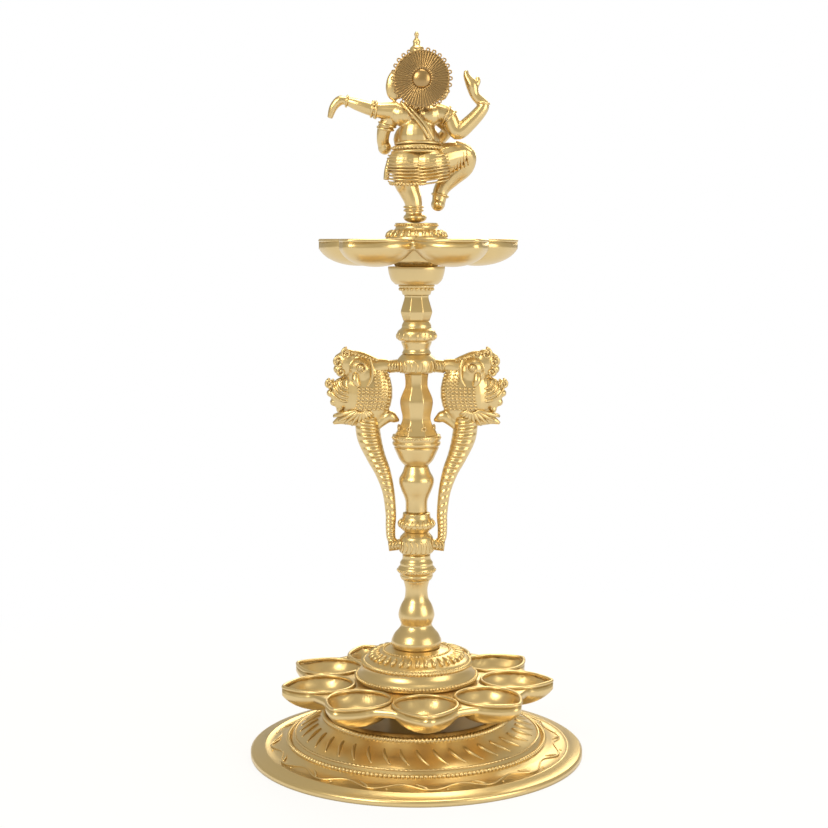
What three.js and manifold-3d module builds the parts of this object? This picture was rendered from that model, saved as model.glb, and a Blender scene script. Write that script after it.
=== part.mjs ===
// Brass oil lamp: a nine-wick tray and a five-wick tray on a turned stem,
// with two parrot brackets at the sides and a dancing figure on top.
// Millimetres, +Z up, the stem's axis on Z, the foot ring standing on z = 0.
import * as THREE from "three";
import { mergeVertices } from "three/addons/utils/BufferGeometryUtils.js";
import Module from "manifold-3d";

const wasm = await Module();
wasm.setup();

// Fits
const SEAT_GAP = 0.2;
const ROD_CLEARANCE = 0.5;

// Tie rod, washer and nut
const ROD_RADIUS = 3;
const ROD_BELOW_NUT = 3;
const ROD_IN_PEDESTAL = 14;
const WASHER_RADIUS = 14;
const WASHER_HEIGHT = 2;
const NUT_RADIUS = 7.5;
const NUT_HEIGHT = 5.5;

// Base plate
const BASE_RADIUS = 115;
const BASE_RIM_HEIGHT = 4;
const BASE_RIM_WIDTH = 8;
const BASE_WALL = 2.6;
const BASE_TOP = 28.5;

// Lower tray of nine wick bowls
const LOWER_BOWLS = 9;
const LOWER_TIP_RADIUS = 93;
const LOWER_VALLEY_RADIUS = 76;
const LOWER_FLOOR = 34.6;
const LOWER_RIM = 52;
const LOWER_TURN = 5;
const TRAY_WALL = 2.2;
const SPACER_RADIUS = 18;

// Upper tray of five wick bowls
const UPPER_BOWLS = 5;
const UPPER_TIP_RADIUS = 70;
const UPPER_VALLEY_RADIUS = 52;
const UPPER_FLOOR = 336;
const UPPER_RIM = 353.6;
const UPPER_TURN = -39;

// Dome over the lower tray's middle
const DOME_RADIUS = 42;
const DOME_BEAD_HEIGHT = 54;
const DOME_TOP = 73.4;
const DOME_WALL = 3;

// Heights of the joints between the stem's pieces
const FOOT_TOP = 121.2;
const BEAD_RING_TOP = 138.6;
const LOWER_COLLAR_TOP = 154.6;
const RING_TOP = 167.4;
const BALUSTER_TOP = 200.6;
const KNOB_TOP = 221.4;
const FACETED_TOP = 263.6;
const UPPER_COLLAR_TOP = 277;
const UPPER_RINGS_TOP = 299.2;
const SMALL_FACETED_TOP = 316.6;
const CAPITAL_TOP = 323.6;

// Bracket collars and the parrots that they hold
const LOWER_COLLAR_RADIUS = 11.6;
const UPPER_COLLAR_RADIUS = 13.2;
const LUG_REACH = 19;
const LUG_DEPTH = 7;
const LOWER_LUG_HEIGHT = 8;
const LOWER_LUG_MIDDLE = 145;
const UPPER_LUG_HEIGHT = 8;
const UPPER_LUG_MIDDLE = 268.5;
const PARROT_THICKNESS = 20;

// Pedestal and figure
const PEDESTAL_TOP = 365;
const PEDESTAL_RADIUS = 21.2;
const HALO_RADIUS = 21;
const HALO_THICKNESS = 2;
const HALO_HEIGHT = 459.3;
const HALO_SIDE = 3.3;
const HALO_BACK = 15;
const HALO_PETALS = 28;
const HALO_LUG_RADIUS = 3.5;
const HALO_LUG_LENGTH = 8;
const RIVET_RADIUS = 6;
const CROWN_TIP = 492;

// Facets
const ROUND_SIDES = 18;
const FACET_SIDES = 8;
const WIDE_SIDES = 40;
const BALL_SIDES = 9;
const BALL_RINGS = 6;
const LIMB_SIDES = 6;

const boreRadius = ROD_RADIUS + ROD_CLEARANCE;

const brass = (colour, roughness) =>
  new THREE.MeshStandardMaterial({ color: colour, roughness, metalness: 1 });
const paleBrass = brass(0xc9a55a, 0.38);
const darkBrass = brass(0x8f6a35, 0.5);
const steel = brass(0x8f8f8c, 0.45);

const lamp = new THREE.Group();

function addPiece(name, geometry, material = paleBrass) {
  const piece = new THREE.Mesh(geometry, material);
  piece.name = name;
  lamp.add(piece);
}

// A turned piece from [radius, height] points that run up its outside.
function turned(outline, sides = ROUND_SIDES) {
  const points = outline.map(([r, z]) => new THREE.Vector2(r, z));
  return new THREE.LatheGeometry(points, sides).rotateX(Math.PI / 2);
}

// A turned piece with a bore for the tie rod right through it.
function turnedBored(outline, sides = ROUND_SIDES) {
  const bottom = outline[0][1];
  const top = outline[outline.length - 1][1];
  return turned(
    [[boreRadius, bottom], ...outline, [boreRadius, top], [boreRadius, bottom]],
    sides,
  );
}

function toSolid(geometry) {
  const bare = geometry.clone();
  bare.deleteAttribute("normal");
  bare.deleteAttribute("uv");
  const merged = mergeVertices(bare, 1e-4);
  return new wasm.Manifold(
    new wasm.Mesh({
      numProp: 3,
      vertProperties: merged.attributes.position.array,
      triVerts: new Uint32Array(merged.index.array),
    }),
  );
}

function toGeometry(solid) {
  const mesh = solid.getMesh();
  const geometry = new THREE.BufferGeometry();
  const places = new Float32Array(mesh.vertProperties);
  geometry.setAttribute("position", new THREE.BufferAttribute(places, 3));
  geometry.setIndex(new THREE.BufferAttribute(new Uint32Array(mesh.triVerts), 1));
  geometry.computeVertexNormals();
  return geometry;
}

function joined(geometries) {
  return geometries.map(toSolid).reduce((all, one) => all.add(one));
}

function ball(place, radii) {
  return new THREE.SphereGeometry(1, BALL_SIDES, BALL_RINGS)
    .scale(...radii)
    .translate(...place);
}

function tiltedBall(place, radii, tilt) {
  return new THREE.SphereGeometry(1, BALL_SIDES, BALL_RINGS)
    .scale(...radii)
    .rotateY(THREE.MathUtils.degToRad(tilt))
    .translate(...place);
}

// A tapering limb: rings round a smooth curve, closed by a fan at each end.
// Each stop is [x, y, z, radius].
function limb(stops, stepsPerStop = 3, sides = LIMB_SIDES) {
  const curve = new THREE.CatmullRomCurve3(
    stops.map(([x, y, z]) => new THREE.Vector3(x, y, z)),
  );
  const steps = (stops.length - 1) * stepsPerStop;
  const frames = curve.computeFrenetFrames(steps, false);
  const places = [];
  for (let step = 0; step <= steps; step++) {
    const along = step / stepsPerStop;
    const index = Math.min(Math.floor(along), stops.length - 2);
    const radius = THREE.MathUtils.lerp(
      stops[index][3],
      stops[index + 1][3],
      along - index,
    );
    const middle = curve.getPoint(step / steps);
    for (let side = 0; side < sides; side++) {
      const angle = (2 * Math.PI * side) / sides;
      const spot = middle
        .clone()
        .addScaledVector(frames.normals[step], radius * Math.cos(angle))
        .addScaledVector(frames.binormals[step], radius * Math.sin(angle));
      places.push(...spot.toArray());
    }
  }
  const first = places.length / 3;
  places.push(...curve.getPoint(0).toArray(), ...curve.getPoint(1).toArray());
  const faces = [];
  for (let side = 0; side < sides; side++) {
    const next = (side + 1) % sides;
    for (let step = 0; step < steps; step++) {
      const low = step * sides;
      const high = low + sides;
      faces.push(low + side, low + next, high + next);
      faces.push(low + side, high + next, high + side);
    }
    const end = steps * sides;
    faces.push(first, next, side);
    faces.push(first + 1, end + side, end + next);
  }
  const geometry = new THREE.BufferGeometry();
  geometry.setAttribute("position", new THREE.Float32BufferAttribute(places, 3));
  geometry.setIndex(faces);
  return geometry;
}

// A tray whose wall runs in and out as pointed wick bowls.
// Both faces are grids of rings from the bore to the rim.
function wickTray({ bowls, tip, valley, floor, rim, turn, steps, hub }) {
  const rings = [0, 0.3, 0.6, 0.85, 1];
  const around = bowls * steps;
  const outer = [];
  const inner = [];
  for (let step = 0; step < around; step++) {
    const share = ((step % steps) / steps) * 2 - 1;
    const angle = THREE.MathUtils.degToRad(turn - 90) + ((step - steps / 2) / around) * 2 * Math.PI;
    const point = 0.72 * Math.cos((share * Math.PI) / 2) ** 0.7 + 0.28 * (1 - Math.abs(share)) ** 2;
    const edge = valley + (tip - valley) * point;
    for (const ring of rings) {
      const start = ring === 0 ? boreRadius : hub;
      const reach = ring === 0 ? 0 : (ring - rings[1]) / (1 - rings[1]);
      const ridge = THREE.MathUtils.smoothstep(reach, 0, 0.9) * Math.abs(share) ** 3;
      const rise = 1 - (1 - reach ** 3.2) * (1 - ridge);
      const height = floor + (rim - floor) * rise;
      const outside = start + (edge - start) * reach;
      const inside = start + (edge - TRAY_WALL - start) * reach;
      const top = ring === 1 ? rim : Math.min(height + TRAY_WALL, rim - 0.6 + 0.5 * reach);
      outer.push(outside * Math.cos(angle), outside * Math.sin(angle), height);
      inner.push(inside * Math.cos(angle), inside * Math.sin(angle), top);
    }
  }
  const count = rings.length;
  const half = around * count;
  const faces = [];
  const quad = (a, b, c, d) => faces.push(a, b, c, a, c, d);
  for (let step = 0; step < around; step++) {
    const here = step * count;
    const next = ((step + 1) % around) * count;
    for (let ring = 0; ring < count - 1; ring++) {
      quad(here + ring, next + ring, next + ring + 1, here + ring + 1);
      quad(half + here + ring, half + here + ring + 1, half + next + ring + 1, half + next + ring);
    }
    const last = count - 1;
    quad(here + last, next + last, half + next + last, half + here + last);
    quad(here, half + here, half + next, next);
  }
  const geometry = new THREE.BufferGeometry();
  geometry.setAttribute("position", new THREE.Float32BufferAttribute([...outer, ...inner], 3));
  geometry.setIndex(faces);
  return geometry;
}

// Base plate: a hollow dished casting that stands on its rim
const foot = BASE_RADIUS - BASE_RIM_WIDTH;
addPiece(
  "base_plate",
  turned(
    [
      [boreRadius, BASE_TOP - BASE_WALL],
      [58, BASE_TOP - BASE_WALL],
      [66, 21 - BASE_WALL],
      [83, 13 - BASE_WALL],
      [92, 8 - BASE_WALL],
      [foot, BASE_RIM_HEIGHT - 1.6],
      [foot, 0],
      [BASE_RADIUS, 0],
      [BASE_RADIUS, BASE_RIM_HEIGHT - 1],
      [BASE_RADIUS - 1.5, BASE_RIM_HEIGHT],
      [foot, BASE_RIM_HEIGHT + 0.4],
      [105.5, 6.2],
      [104, 4.8],
      [92, 8.6],
      [90.8, 11.2],
      [87, 12.2],
      [83, 15],
      [65.5, 23],
      [64.6, 27],
      [61.6, 28],
      [59, 30],
      [57, BASE_TOP],
      [boreRadius, BASE_TOP],
      [boreRadius, BASE_TOP - BASE_WALL],
    ],
    WIDE_SIDES,
  ),
);

const washerTop = BASE_TOP - BASE_WALL - SEAT_GAP;
const nutTop = washerTop - WASHER_HEIGHT - SEAT_GAP;
const rodBottom = nutTop - NUT_HEIGHT - ROD_BELOW_NUT;
const pedestalBottom = UPPER_FLOOR + TRAY_WALL + SEAT_GAP;
const rodTop = pedestalBottom + ROD_IN_PEDESTAL;
addPiece(
  "base_washer",
  turnedBored([[WASHER_RADIUS, washerTop - WASHER_HEIGHT], [WASHER_RADIUS, washerTop]]),
);
const nutBottom = nutTop - NUT_HEIGHT;
const nutBlank = turned([[0, nutBottom], [NUT_RADIUS, nutBottom], [NUT_RADIUS, nutTop], [0, nutTop]], 6);
const nutBore = new THREE.CylinderGeometry(boreRadius, boreRadius, 2 * NUT_HEIGHT, 16)
  .rotateX(Math.PI / 2)
  .translate(0, 0, nutTop - NUT_HEIGHT / 2);
addPiece("base_nut", toGeometry(toSolid(nutBlank).subtract(toSolid(nutBore))));
addPiece(
  "tie_rod",
  turned([[0, rodBottom], [ROD_RADIUS, rodBottom], [ROD_RADIUS, rodTop], [0, rodTop]], 16),
  steel,
);

// Spacer that lifts the lower tray off the base plate
addPiece(
  "tray_spacer",
  turnedBored([
    [SPACER_RADIUS, BASE_TOP + SEAT_GAP],
    [SPACER_RADIUS, LOWER_FLOOR - SEAT_GAP],
  ]),
);

addPiece(
  "lower_tray",
  wickTray({
    bowls: LOWER_BOWLS,
    tip: LOWER_TIP_RADIUS,
    valley: LOWER_VALLEY_RADIUS,
    floor: LOWER_FLOOR,
    rim: LOWER_RIM,
    turn: LOWER_TURN,
    steps: 8,
    hub: DOME_RADIUS - 2,
  }),
);
addPiece(
  "upper_tray",
  wickTray({
    bowls: UPPER_BOWLS,
    tip: UPPER_TIP_RADIUS,
    valley: UPPER_VALLEY_RADIUS,
    floor: UPPER_FLOOR,
    rim: UPPER_RIM,
    turn: UPPER_TURN,
    steps: 10,
    hub: PEDESTAL_RADIUS - 1,
  }),
);

// Dome: a hollow cover that stands on the tray's floor
const domeFoot = LOWER_FLOOR + TRAY_WALL + SEAT_GAP;
addPiece(
  "tray_dome",
  turned(
    [
      [boreRadius, DOME_TOP - DOME_WALL],
      [28, DOME_TOP - 1.6 * DOME_WALL],
      [35.5 - DOME_WALL, 60],
      [DOME_RADIUS - 3 - DOME_WALL, domeFoot],
      [DOME_RADIUS - 3, domeFoot],
      [DOME_RADIUS - 2, DOME_BEAD_HEIGHT - 3],
      [DOME_RADIUS, DOME_BEAD_HEIGHT - 1.5],
      [DOME_RADIUS, DOME_BEAD_HEIGHT + 1],
      [DOME_RADIUS - 1.5, DOME_BEAD_HEIGHT + 2],
      [38, 59],
      [37, 62],
      [36.8, 64.5],
      [34.5, 65.6],
      [31, 68.5],
      [25, 71],
      [18.5, DOME_TOP - 0.8],
      [17.5, DOME_TOP],
      [boreRadius, DOME_TOP],
      [boreRadius, DOME_TOP - DOME_WALL],
    ],
    28,
  ),
);

// The stem's turned pieces, each from its joint below to its joint above
addPiece(
  "stem_foot",
  turnedBored([
    [16.6, DOME_TOP + SEAT_GAP],
    [17.3, 78],
    [15.6, 82.4],
    [12.1, 86.6],
    [10.6, 89.8],
    [12.4, 96],
    [11.4, 101.4],
    [8.3, 107.8],
    [7.6, 114],
    [9.3, FOOT_TOP],
  ]),
);
addPiece(
  "stem_bead_ring",
  turnedBored([
    [10.4, FOOT_TOP + SEAT_GAP],
    [11.4, 124.6],
    [12.8, 127.8],
    [12.4, 130.9],
    [10, 135],
    [9.8, BEAD_RING_TOP],
  ]),
);

// A collar round the stem with a lug to each side for the brackets
function bracketCollar(bottom, top, radius, lugMiddle, lugHeight) {
  const ring = turnedBored([
    [radius - 1, bottom],
    [radius, bottom + 1.5],
    [radius, top - 3],
    [radius - 3, top],
  ]);
  const lugs = new THREE.BoxGeometry(2 * LUG_REACH, LUG_DEPTH, lugHeight).translate(0, 0, lugMiddle);
  const bore = new THREE.CylinderGeometry(boreRadius, boreRadius, 2 * lugHeight, ROUND_SIDES)
    .rotateX(Math.PI / 2)
    .translate(0, 0, lugMiddle);
  return toGeometry(toSolid(ring).add(toSolid(lugs)).subtract(toSolid(bore)));
}

addPiece(
  "lower_bracket_collar",
  bracketCollar(
    BEAD_RING_TOP + SEAT_GAP,
    LOWER_COLLAR_TOP,
    LOWER_COLLAR_RADIUS,
    LOWER_LUG_MIDDLE,
    LOWER_LUG_HEIGHT,
  ),
);
addPiece(
  "stem_leaf_ring",
  turnedBored([
    [8.8, LOWER_COLLAR_TOP + SEAT_GAP],
    [11.7, 158.2],
    [12, 160.3],
    [11, 162.3],
    [9.3, RING_TOP],
  ]),
);
addPiece(
  "stem_baluster",
  turnedBored([
    [7.6, RING_TOP + SEAT_GAP],
    [7.5, 174.9],
    [8.6, 179],
    [10.3, 183],
    [11.9, 188],
    [11.8, 191.5],
    [9.6, 195.7],
    [7.9, BALUSTER_TOP],
  ]),
);
addPiece(
  "stem_knob",
  turnedBored([
    [8.6, BALUSTER_TOP + SEAT_GAP],
    [11.3, 203.9],
    [13.3, 208],
    [15.2, 213],
    [16.5, 218.4],
    [16.4, KNOB_TOP],
  ]),
);
addPiece(
  "faceted_baluster",
  turnedBored(
    [
      [15.6, KNOB_TOP + SEAT_GAP],
      [12.6, 226.7],
      [10.6, 231],
      [10.4, 235],
      [11.6, 240],
      [12, 245.2],
      [10.5, 249.3],
      [8.4, 254],
      [8.2, 259],
      [8.8, FACETED_TOP],
    ],
    FACET_SIDES,
  ),
);
addPiece(
  "upper_bracket_collar",
  bracketCollar(
    FACETED_TOP + SEAT_GAP,
    UPPER_COLLAR_TOP,
    UPPER_COLLAR_RADIUS,
    UPPER_LUG_MIDDLE,
    UPPER_LUG_HEIGHT,
  ),
);
addPiece(
  "stem_upper_rings",
  turnedBored([
    [10, UPPER_COLLAR_TOP + SEAT_GAP],
    [8.8, 280],
    [10.2, 284],
    [12.8, 286.5],
    [13.2, 290.2],
    [10.2, 294.3],
    [8.5, UPPER_RINGS_TOP],
  ]),
);
addPiece(
  "small_faceted_baluster",
  turnedBored(
    [
      [9.6, UPPER_RINGS_TOP + SEAT_GAP],
      [11.4, 305],
      [11, 308.5],
      [8.8, 314.6],
      [9, SMALL_FACETED_TOP],
    ],
    FACET_SIDES,
  ),
);
addPiece(
  "stem_capital",
  turnedBored([
    [9.4, SMALL_FACETED_TOP + SEAT_GAP],
    [10.8, 320.7],
    [12, CAPITAL_TOP],
  ]),
);
addPiece(
  "tray_hub",
  turnedBored([
    [14.4, CAPITAL_TOP + SEAT_GAP],
    [17.2, 326.7],
    [18.6, 330.8],
    [19.2, UPPER_FLOOR - SEAT_GAP],
  ]),
);

// Parrot bracket: body, head, crest, fan and leaf, on an S-curved tail
// that stands on the lower lug. Side is -1 on the left and 1 on the right.
const lowerLugTop = LOWER_LUG_MIDDLE + LOWER_LUG_HEIGHT / 2;
const halfBird = PARROT_THICKNESS / 2;
function parrotBracket(side) {
  const tail = limb(
    [
      [side * 15.4, 0, lowerLugTop + SEAT_GAP, 3.2],
      [side * 16.2, 0, 164, 3.2],
      [side * 18, 0, 181, 4.2],
      [side * 22.5, 0, 196, 5.8],
      [side * 29, 0, 208, 6.9],
      [side * 33, 0, 222.6, 8.6],
      [side * 34, 0, 240, 9],
    ],
    2,
  );
  const parts = [
    tail,
    tiltedBall([side * 36, 0, 246], [17, halfBird, 22], side * -8),
    ball([side * 41, 0, 266], [13, halfBird * 0.85, 12]),
    tiltedBall([side * 54, 0, 260], [4, 4, 9], side * 14),
    tiltedBall([side * 35, 0, 278], [4, 3, 4], 0),
    tiltedBall([side * 43, 0, 279], [4, 3, 4.4], 0),
    tiltedBall([side * 51, 0, 274], [4, 3, 4.4], 0),
    tiltedBall([side * 51, 0, 246], [7, 5, 9], side * 20),
    tiltedBall([side * 49, 0, 234], [9, 4, 6], side * 35),
    tiltedBall([side * 18, 0, 236], [5.4, 3.4, 8], side * 25),
    limb(
      [
        [side * (LUG_REACH + SEAT_GAP), 0, UPPER_LUG_MIDDLE, 4],
        [side * 27, 0, UPPER_LUG_MIDDLE, 4.4],
        [side * 34, 0, UPPER_LUG_MIDDLE, 5],
      ],
      1,
    ),
  ];
  const below = new THREE.BoxGeometry(60, 60, 20).translate(side * 15, 0, lowerLugTop + SEAT_GAP - 10);
  const inside = new THREE.BoxGeometry(2 * (LUG_REACH + SEAT_GAP), 60, 16)
    .translate(0, 0, UPPER_LUG_MIDDLE);
  return toGeometry(joined(parts).subtract(toSolid(below)).subtract(toSolid(inside)));
}
addPiece("left_parrot_bracket", parrotBracket(-1));
addPiece("right_parrot_bracket", parrotBracket(1));

// Lotus pedestal with a blind bore for the tie rod's end
const boreTop = rodTop + 1;
addPiece(
  "lotus_pedestal",
  turned([
    [boreRadius, pedestalBottom],
    [PEDESTAL_RADIUS - 2, pedestalBottom],
    [PEDESTAL_RADIUS, 355],
    [19.2, 357],
    [17.4, 359],
    [14, 361.4],
    [14.4, PEDESTAL_TOP],
    [0, PEDESTAL_TOP],
    [0, boreTop],
    [boreRadius, boreTop],
    [boreRadius, pedestalBottom],
  ]),
);

// Dancing figure with an elephant's head, facing +Y
const ankle = PEDESTAL_TOP + 7;
const figureParts = [
  ball([-1, 3, PEDESTAL_TOP + 3.4], [8, 11, 4]),
  limb([
    [-2, 1, ankle - 4, 5],
    [-2.4, 0, 380, 6.4],
    [-8, 2, 390, 7.6],
    [-6, 0, 403, 11.5],
  ]),
  ball([-2, 0, 404], [18, 13, 12]),
  limb([
    [8, 2, 404, 11],
    [22, 6, 410, 9.5],
    [32, 10, 411, 7.5],
    [30, 14, 402, 6.4],
    [20, 14, 392, 5.4],
    [15, 12, 381, 4.6],
  ]),
  ball([15, 15, 377], [5, 8, 4]),
  ball([0, 9, 421], [16, 15, 13]),
  ball([0, 0, 424], [14, 11, 14]),
  ball([-1, 0, 437], [19, 10, 9]),
  limb([
    [-14, 0, 439, 6.2],
    [-28, -1, 440, 5.4],
    [-39, -1, 443, 4.4],
    [-48, 0, 446, 3.2],
  ]),
  tiltedBall([-53, 0, 441], [4.4, 2.8, 9], 38),
  limb([
    [-15, 3, 436, 5.6],
    [-21, 5, 428, 5.2],
    [-22, 12, 419, 4],
  ]),
  ball([-21, 15, 417], [4, 5, 5]),
  limb([
    [12, 0, 440, 6],
    [22, 0, 436, 5.4],
    [27, 0, 424, 5],
    [37, 0, 434, 4],
    [45, 0, 446, 3],
  ]),
  tiltedBall([41, 0, 453], [4.4, 2.8, 8], -35),
  tiltedBall([35, 0, 461], [2.4, 2, 6], -20),
  limb([
    [14, 4, 436, 5.4],
    [22, 9, 428, 4.6],
    [18, 18, 422, 3.6],
  ]),
  ball([1, 3, 455], [14, 12, 14]),
  ball([-13, 2, 456], [8, 3, 10]),
  ball([15, 2, 456], [8, 3, 10]),
  limb([
    [1, 12, 455, 6],
    [2, 18, 448, 5],
    [1, 20, 438, 4],
    [-4, 21, 430, 3.2],
    [-9, 20, 428, 2.4],
  ]),
];
const crown = turned(
  [
    [0, 464],
    [9.6, 464],
    [10, 468],
    [8, 469],
    [8.4, 473],
    [6, 474],
    [6.2, 478],
    [3.6, 480],
    [3, 484],
    [1.4, 485],
    [2, 488],
    [0, CROWN_TIP],
  ],
  12,
).translate(-1, 2, 0);
// A round lug behind the head carries the halo disc
const haloFace = -HALO_BACK + HALO_THICKNESS + SEAT_GAP;
const haloLug = new THREE.CylinderGeometry(HALO_LUG_RADIUS, HALO_LUG_RADIUS, HALO_LUG_LENGTH, 12)
  .translate(HALO_SIDE, haloFace + HALO_LUG_LENGTH / 2, HALO_HEIGHT);
const underFigure = new THREE.BoxGeometry(60, 60, 20).translate(0, 0, PEDESTAL_TOP + SEAT_GAP - 10);
addPiece(
  "dancing_figure",
  toGeometry(joined([...figureParts, crown, haloLug]).subtract(toSolid(underFigure))),
);

// Halo disc behind the head with a scalloped edge, held by a domed rivet
function haloDisc() {
  const outline = new THREE.Shape();
  const points = HALO_PETALS * 4;
  for (let point = 0; point <= points; point++) {
    const angle = (2 * Math.PI * point) / points;
    const reach = HALO_RADIUS - 0.8 + 0.8 * Math.cos(angle * HALO_PETALS);
    if (point === 0) outline.moveTo(reach, 0);
    else if (point < points) outline.lineTo(reach * Math.cos(angle), reach * Math.sin(angle));
  }
  outline.closePath();
  return new THREE.ExtrudeGeometry(outline, { depth: HALO_THICKNESS, bevelEnabled: false })
    .rotateX(Math.PI / 2)
    .translate(HALO_SIDE, -HALO_BACK + HALO_THICKNESS, HALO_HEIGHT);
}
addPiece("halo_disc", haloDisc(), darkBrass);
addPiece(
  "halo_boss",
  turned([[0, 0], [RIVET_RADIUS, 0], [RIVET_RADIUS * 0.8, 1.6], [0, 2.6]], 16)
    .rotateX(Math.PI / 2)
    .translate(HALO_SIDE, -HALO_BACK - SEAT_GAP, HALO_HEIGHT),
  darkBrass,
);

export default lamp;
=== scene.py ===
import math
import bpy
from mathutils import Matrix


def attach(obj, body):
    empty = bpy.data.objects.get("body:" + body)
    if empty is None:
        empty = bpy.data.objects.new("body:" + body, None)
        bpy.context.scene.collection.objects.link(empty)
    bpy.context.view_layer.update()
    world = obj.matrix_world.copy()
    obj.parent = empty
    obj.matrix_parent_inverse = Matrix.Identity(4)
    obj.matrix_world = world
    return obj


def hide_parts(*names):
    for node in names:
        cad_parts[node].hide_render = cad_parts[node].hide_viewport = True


bl_info = {
    "name": "Brass Oil Lamp",
    "version": (1, 0, 0),
    "blender": (4, 5, 0),
    "location": "View3D > Sidebar > Lamp",
    "description": "Builds a two-tray brass oil lamp with parrot brackets and a dancing figure",
    "category": "Object",
}

import bmesh
import bpy
import numpy as np
from mathutils import Vector

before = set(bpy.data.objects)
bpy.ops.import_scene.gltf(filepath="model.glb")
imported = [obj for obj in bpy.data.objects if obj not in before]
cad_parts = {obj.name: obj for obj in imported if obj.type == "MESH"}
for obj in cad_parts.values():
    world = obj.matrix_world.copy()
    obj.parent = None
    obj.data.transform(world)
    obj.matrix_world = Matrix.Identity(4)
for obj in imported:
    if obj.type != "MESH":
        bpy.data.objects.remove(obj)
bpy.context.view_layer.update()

MM = 0.001
TURN = 2 * math.pi
BODY = "root"

# Camera, as the photograph was taken
CAMERA_DISTANCE = 1.085
CAMERA_HEIGHT = 0.3536
CAMERA_SIDE = -0.0017
CAMERA_PITCH = 6.206
CAMERA_LENS = 69.57
SENSOR = 36

# Stage, in metres: the floor is plain white to the camera away from the lamp
FLOOR_SIZE = 12
FLOOR_PLACE = (0, 2, -0.0002)
LAMP_ON_FLOOR = (0, -2, 0)
FADE_START = 0.1
FADE_END = 0.55
WHITE_SHARE_NEAR = 0.82
SURROUND_COLOUR = (1, 0.95, 0.8, 1)
SURROUND_STRENGTH = 0.5
LAMP_COLOUR = (1, 0.91, 0.7)
LAMP_AIM = (0, 0, 0.24)
LAMPS = (
    ("key_lamp", (-0.9, -1.1, 1.1), 0.7, 9),
    ("fill_lamp", (1.1, -0.8, 0.6), 0.8, 5),
    ("top_lamp", (0.1, 0.1, 1.5), 0.6, 6),
    ("back_lamp", (0.3, 1.2, 0.9), 0.8, 5),
)

# Finishes that stay as they are, with the colours of painted shade in the hollows of the halo and the rod
DARK_PAINTED_SHADE = (0.12, 0.05, 0.015)
ROD_COLOUR = (0.6, 0.48, 0.24)
ROD_PAINTED_SHADE = (0.3, 0.2, 0.08)

# Trays, in millimetres and degrees: a cup is round behind its middle and pointed ahead of it,
# and valley is the radius of the land between two cups
LOWER_CUPS = {
    "cups": 9, "turn": 5, "middle": 66, "half": 20.5, "point": 27, "floor": 34.6, "rim": 52,
    "valley": 80, "hub": 30,
}
UPPER_CUPS = {
    "cups": 5, "turn": -39, "middle": 42, "half": 22.5, "point": 28, "floor": 336, "rim": 353.6,
    "valley": 40, "hub": 16,
}
TRAY_WALL = 2.4
TRAY_BORE = 3.6
WEB_DEPTH = 6.4
THINNEST_WALL = 1.6
CUP_NARROWING = 0.5
CUP_SHARPNESS = 2.6
CUP_STEPS = 26
TRAY_RINGS = 40
# How far below the rim the bead, the outer edge, the land and the hub lie
BEAD_DROP = 0.4
EDGE_DROP = 0.6
LAND_DROP = 1
HUB_DROP = 1.4
# Shares of a cup's own size
EDGE_REACH = 1.1
BEAD_REACH = 1.03
UNDER_REACH = 1.14

# The stem's turned pieces: radius and height of each point, bottom to top
STEM = {
    "stem_foot": [
        (15.5, 73.6), (16.8, 74.6), (17.3, 78), (16.6, 80.2), (15, 83.2), (12.1, 86.6), (10.6, 89.4),
        (11.2, 91.6), (12.4, 95.6), (12, 99.3), (10.5, 103.5), (8.3, 107.8), (7.6, 113.5), (8.3, 118),
        (9.3, 121.2),
    ],
    "stem_bead_ring": [
        (10.4, 121.4), (11.4, 123.6), (11.2, 125), (12.8, 126.6), (12.8, 129), (11.4, 131), (11.3, 133),
        (9.8, 135.4), (9.6, 138.6),
    ],
    "stem_leaf_ring": [
        (8.8, 154.8), (10, 156), (11.7, 157.8), (12, 160.3), (11, 162.3), (9.8, 164.4), (9.3, 167.4),
    ],
    "stem_baluster": [
        (7.6, 167.6), (7.5, 174.9), (8.6, 179), (10.3, 183), (11.9, 188), (11.8, 191.5), (9.6, 195.7),
        (7.9, 200.6),
    ],
    "stem_knob": [
        (8.6, 200.8), (11.3, 203.9), (13.3, 208), (15.2, 212.4), (14.8, 213.2), (16.2, 214.6), (16.5, 216.2),
        (15.8, 217.2), (16.5, 218.4), (16.4, 221.4),
    ],
    "stem_upper_rings": [
        (10, 277.2), (8.8, 280), (10.2, 284), (10.4, 285.2), (12.8, 286.5), (13.2, 289), (12.6, 292.2),
        (10.2, 294.3), (9.9, 296.3), (8.5, 299.2),
    ],
    "stem_capital": [(9.4, 316.8), (10, 318.6), (10.8, 320.7), (12, 322.4), (11.6, 323.6)],
    "tray_hub": [(14.4, 323.8), (17.2, 326.7), (18.6, 330.8), (19.2, 334), (19.2, 335.8)],
}
FACETED = {
    "faceted_baluster": [
        (15.6, 221.6), (14.6, 223.4), (12.6, 226.7), (10.6, 231), (10.4, 235), (11.5, 240), (12, 245),
        (10.5, 249.3), (8.4, 254), (8.2, 259), (8.8, 263.6),
    ],
    "small_faceted_baluster": [
        (9.6, 299.4), (11.2, 304), (11.4, 306), (10.2, 310), (8.8, 314.6), (9, 316.6),
    ],
}
FACETS = 8

# Bracket collars: name, bottom, top, radius, height of the arms and their thickness
COLLARS = (
    ("lower_bracket_collar", 138.8, 154.6, 11.6, 145, 3.8),
    ("upper_bracket_collar", 263.8, 277, 13.2, 268.5, 4.4),
)
NOTCHES = (13.4, 15.6, 17.8)

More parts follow.
